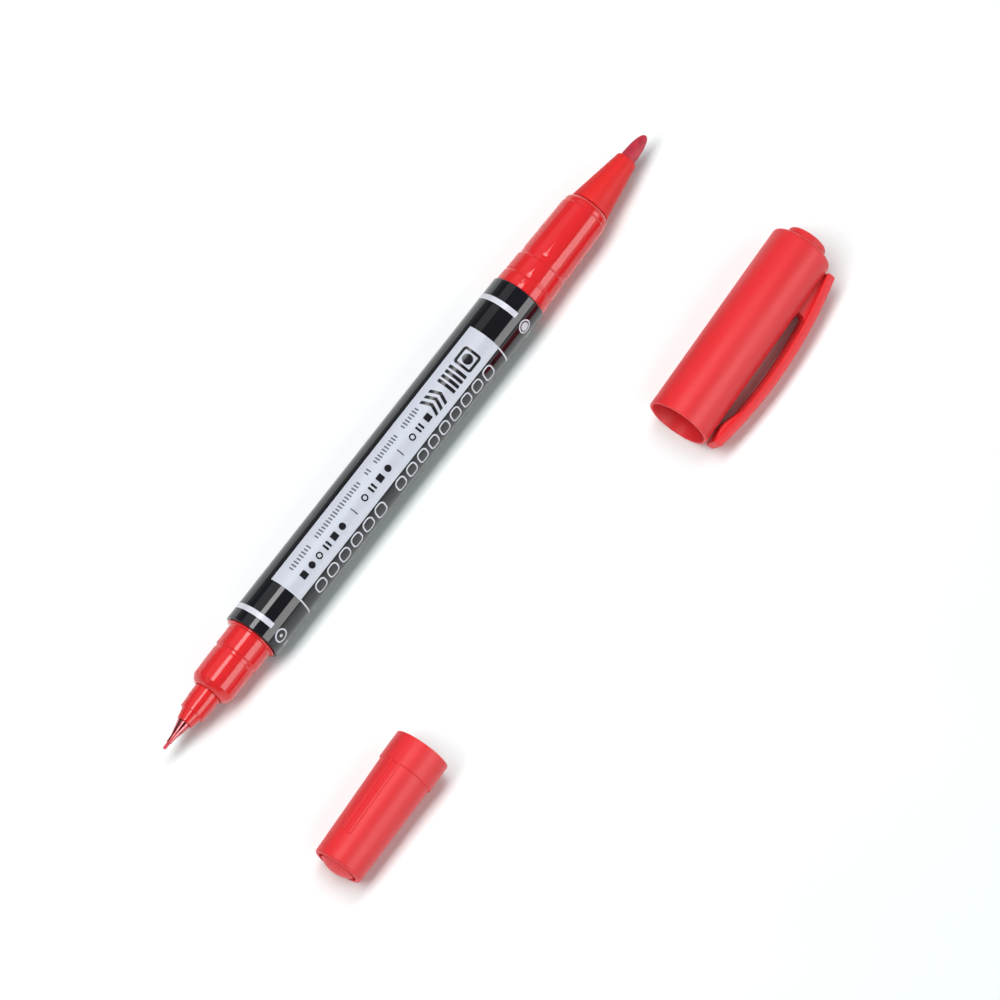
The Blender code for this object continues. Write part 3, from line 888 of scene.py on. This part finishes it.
VIEW_AZIMUTH = math.radians(-53.45)
VIEW_ELEVATION = math.radians(72.0)
VIEW_WIDTH = 0.16393
LENS = 250.0
SENSOR = 36.0
TARGET = Vector((-0.00025, 0.00045, 0.0051))


def make_table():
    """Wide white table top."""
    bpy.ops.object.select_all(action="DESELECT")
    bpy.ops.mesh.primitive_grid_add(x_subdivisions=8, y_subdivisions=8, size=3.0)
    table = bpy.context.object
    table.name = "table_top"
    material, wiring, shader = new_finish("white_table")
    spot = wiring.add("ShaderNodeTexCoord").outputs["Object"]
    tone = wiring.spread(wiring.noise(spot, 25.0, 3.0), 0.3, 0.7)
    wiring.set(shader.inputs["Base Color"],
               wiring.mix(tone, (0.925, 0.95, 0.95, 1.0), (0.945, 0.97, 0.97, 1.0)))
    shader.inputs["Roughness"].default_value = 0.8
    shader.inputs["Specular IOR Level"].default_value = 0.1
    table.data.materials.append(material)


def softbox(name, centre, aim, width, length, radiance, glossy=True, diffuse=True,
            colour=(1.0, 1.0, 1.0)):
    """A rectangular light that faces aim, its length along the pen."""
    light = bpy.data.lights.new(name, "AREA")
    light.shape = "RECTANGLE"
    light.size = length
    light.size_y = width
    light.energy = radiance * math.pi * width * length
    light.color = colour
    back = (centre - aim).normalized()
    across = back.cross(Vector((1, 0, 0))).normalized()
    ahead = across.cross(back)
    lamp = bpy.data.objects.new(name, light)
    lamp.matrix_world = Matrix.Translation(centre) @ Matrix(
        (ahead, across, back)).transposed().to_4x4()
    lamp.visible_glossy = glossy
    lamp.visible_diffuse = diffuse
    bpy.context.scene.collection.objects.link(lamp)


def make_lights():
    """Softboxes over the pen and at its right, seen in it or only lighting it, and a room.

    Each light's angle is from straight up, and positive towards the pen's left.
    """
    pen_middle = pen_place @ Vector((0, 0, PEN_LENGTH / 2 * MM))
    distance = 0.5

    def hung(angle, along):
        turn = math.radians(angle)
        return Vector((along, pen_middle.y + distance * math.sin(turn),
                       pen_middle.z + distance * math.cos(turn)))

    def under(along, height=0.0):
        return Vector((along, pen_middle.y, height))

    over, low, wall = 11.0, -57.0, 38.0
    fine_end, thick_end = -0.17, pen_middle.x + 0.17
    beside_caps = 0.07
    softbox("overhead_softbox", hung(over, fine_end), under(fine_end), 0.15, 0.65, 5.6)
    softbox("key_light", hung(over, 0.0), under(0.0), 0.19, 0.8, 3.9, glossy=False)
    softbox("side_softbox", hung(low, beside_caps), under(beside_caps), 0.27, 0.75, 3.6,
            diffuse=False)
    softbox("side_fill", hung(low, beside_caps), under(beside_caps), 0.5, 0.9, 1.15,
            glossy=False, colour=(0.84, 1.0, 1.0))
    softbox("highlight_strip", hung(over, thick_end), under(thick_end, pen_middle.z),
            0.04, 0.04, 6.0, diffuse=False)
    softbox("left_wall", hung(wall, pen_middle.x), pen_middle, 0.3, 1.3, 0.42, diffuse=False)
    make_room()


def make_room():
    """A dim room with a bright horizon, brightest behind the caps."""
    world = bpy.data.worlds.new("dim_room")
    world.use_nodes = True
    background = world.node_tree.nodes["Background"].inputs
    wiring = Wiring(world.node_tree)
    way = wiring.add("ShaderNodeTexCoord").outputs["Generated"]
    parts = wiring.add("ShaderNodeSeparateXYZ", {"Vector": way}).outputs
    brightest = wiring.spread(parts["Y"], -0.2, 0.2, 1.1, 0.3)
    glow = wiring.spread(parts["Z"], 0.35, 0.05, 0.12, brightest)
    wiring.set(background["Strength"], glow)
    background["Color"].default_value = (1.0, 1.0, 1.0, 1.0)
    bpy.context.scene.world = world


def make_camera():
    back = Vector((math.sin(VIEW_AZIMUTH) * math.cos(VIEW_ELEVATION),
                   -math.cos(VIEW_AZIMUTH) * math.cos(VIEW_ELEVATION),
                   math.sin(VIEW_ELEVATION)))
    lens = bpy.data.cameras.new("camera")
    lens.lens = LENS
    lens.sensor_width = SENSOR
    camera = bpy.data.objects.new("camera", lens)
    camera.location = TARGET + back * (VIEW_WIDTH * LENS / SENSOR)
    camera.rotation_euler = back.to_track_quat("Z", "Y").to_euler()
    bpy.context.scene.collection.objects.link(camera)
    bpy.context.scene.camera = camera
    bpy.context.scene.view_settings.view_transform = "Standard"


paint_inner_nodes()
make_barrel()
make_fine_section()
make_fine_tip()
make_thick_section()
make_thick_tip()
make_panel()
make_white_print()
make_dark_print()
make_grey_print()
make_large_cap()
make_clip()
make_small_cap()
make_table()
make_lights()
make_camera()
